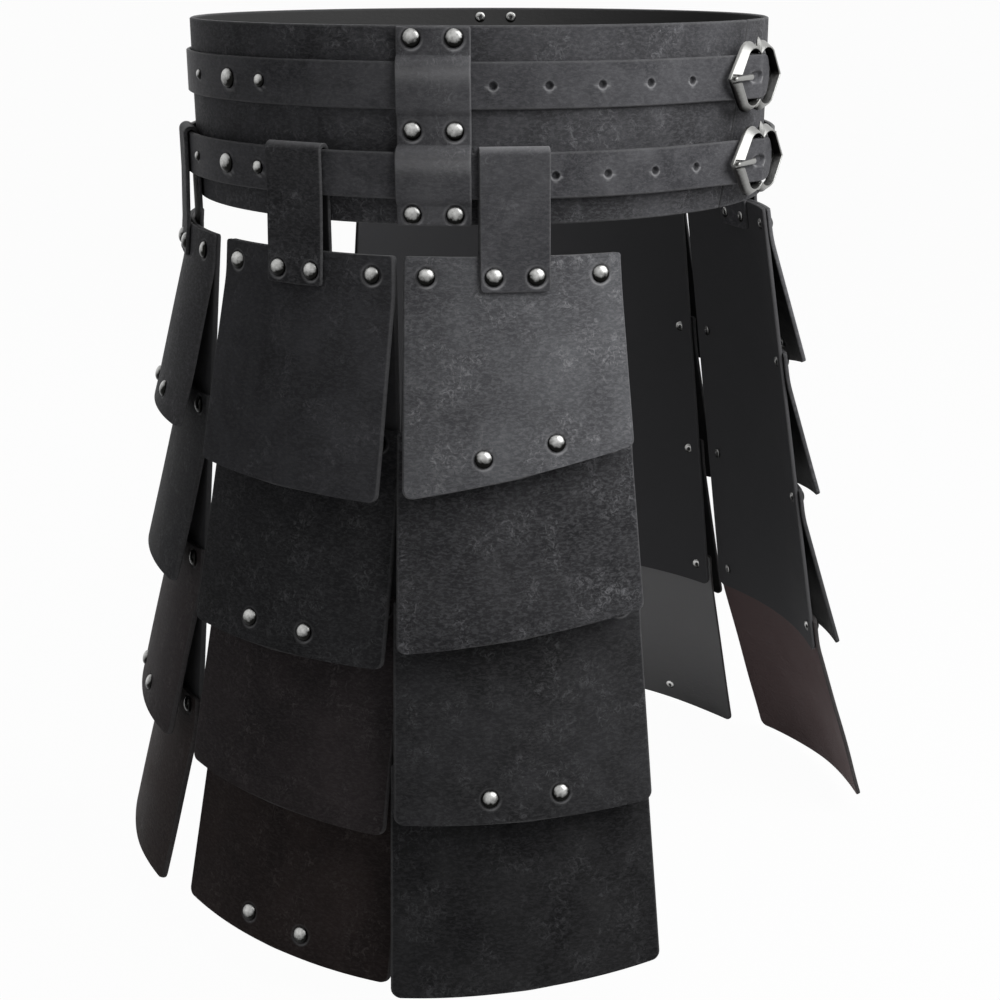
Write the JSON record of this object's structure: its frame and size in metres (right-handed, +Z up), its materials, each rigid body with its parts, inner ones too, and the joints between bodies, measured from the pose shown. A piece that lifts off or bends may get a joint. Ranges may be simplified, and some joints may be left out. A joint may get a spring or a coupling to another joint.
{
  "type": "leather fauld",
  "caption": "Leather battle skirt: a tall waist band with buckled belts and hinged tassets of overlapping riveted lames over each hip.",
  "frame": {"origin": "centre of the waist opening, half way up the waist band", "axes": "+Z up, -Y the wearer's front, +X the wearer's left"},
  "size_m": [0.5387, 0.4698, 0.5993],
  "materials": {
    "leather": "satin black, grained",
    "lining_leather": "smooth matt black",
    "rivet": "polished nickel plate",
    "buckle": "antiqued nickel plate"
  },
  "bodies": {
    "girdle": {"waist_band": "leather", "right_keeper": "leather", "left_keeper": "leather", "keeper_rivets": "rivet", "belt_rivets": "rivet", "upper_belt": "leather", "lower_belt": "leather", "upper_buckle": "buckle", "lower_buckle": "buckle", "right_front_strap": "leather", "right_side_strap": "leather", "right_back_strap": "leather", "left_front_strap": "leather", "left_side_strap": "leather", "left_back_strap": "leather"},
    "right_front_tasset": {"right_front_backing": "lining_leather", "right_front_lame_1": "leather", "right_front_lame_2": "leather", "right_front_lame_3": "leather", "right_front_lame_4": "leather", "right_front_rivets": "rivet"},
    "right_side_tasset": {"right_side_backing": "lining_leather", "right_side_lame_1": "leather", "right_side_lame_2": "leather", "right_side_lame_3": "leather", "right_side_lame_4": "leather", "right_side_rivets": "rivet"},
    "right_back_tasset": {"right_back_backing": "lining_leather", "right_back_lame_1": "leather", "right_back_lame_2": "leather", "right_back_lame_3": "leather", "right_back_lame_4": "leather", "right_back_rivets": "rivet"},
    "left_front_tasset": {"left_front_backing": "lining_leather", "left_front_lame_1": "leather", "left_front_lame_2": "leather", "left_front_lame_3": "leather", "left_front_lame_4": "leather", "left_front_rivets": "rivet"},
    "left_side_tasset": {"left_side_backing": "lining_leather", "left_side_lame_1": "leather", "left_side_lame_2": "leather", "left_side_lame_3": "leather", "left_side_lame_4": "leather", "left_side_rivets": "rivet"},
    "left_back_tasset": {"left_back_backing": "lining_leather", "left_back_lame_1": "leather", "left_back_lame_2": "leather", "left_back_lame_3": "leather", "left_back_lame_4": "leather", "left_back_rivets": "rivet"},
    "upper_prong_body": {"upper_prong": "buckle"},
    "lower_prong_body": {"lower_prong": "buckle"}
  },
  "joints": [
    {"name": "right_front_swing", "type": "hinge", "parent": "girdle", "child": "right_front_tasset", "pos_m": [-0.15297, -0.12173, -0.041], "axis": [-0.6227, 0.7825, 0], "range_deg": [0, 75], "deforming": ["right_front_strap"]},
    {"name": "right_side_swing", "type": "hinge", "parent": "girdle", "child": "right_side_tasset", "pos_m": [-0.19549, 0.00205, -0.041], "axis": [0.0105, 0.9999, 0], "range_deg": [0, 75], "deforming": ["right_side_strap"]},
    {"name": "right_back_swing", "type": "hinge", "parent": "girdle", "child": "right_back_tasset", "pos_m": [-0.14178, 0.1346, -0.041], "axis": [0.6885, 0.7252, 0], "range_deg": [0, 75], "deforming": ["right_back_strap"]},
    {"name": "left_front_swing", "type": "hinge", "parent": "girdle", "child": "left_front_tasset", "pos_m": [0.15297, -0.12173, -0.041], "axis": [-0.6227, -0.7825, 0], "range_deg": [0, 75], "deforming": ["left_front_strap"]},
    {"name": "left_side_swing", "type": "hinge", "parent": "girdle", "child": "left_side_tasset", "pos_m": [0.19549, 0.00205, -0.041], "axis": [0.0105, -0.9999, 0], "range_deg": [0, 75], "deforming": ["left_side_strap"]},
    {"name": "left_back_swing", "type": "hinge", "parent": "girdle", "child": "left_back_tasset", "pos_m": [0.14178, 0.1346, -0.041], "axis": [0.6885, -0.7252, 0], "range_deg": [0, 75], "deforming": ["left_back_strap"]},
    {"name": "upper_prong_turn", "type": "hinge", "parent": "girdle", "child": "upper_prong_body", "pos_m": [0, -0.1954, 0.023], "axis": [0, 0, 1], "range_deg": [0, 8]},
    {"name": "lower_prong_turn", "type": "hinge", "parent": "girdle", "child": "lower_prong_body", "pos_m": [0, -0.19923, -0.027], "axis": [0, 0, 1], "range_deg": [0, 8]}
  ]
}
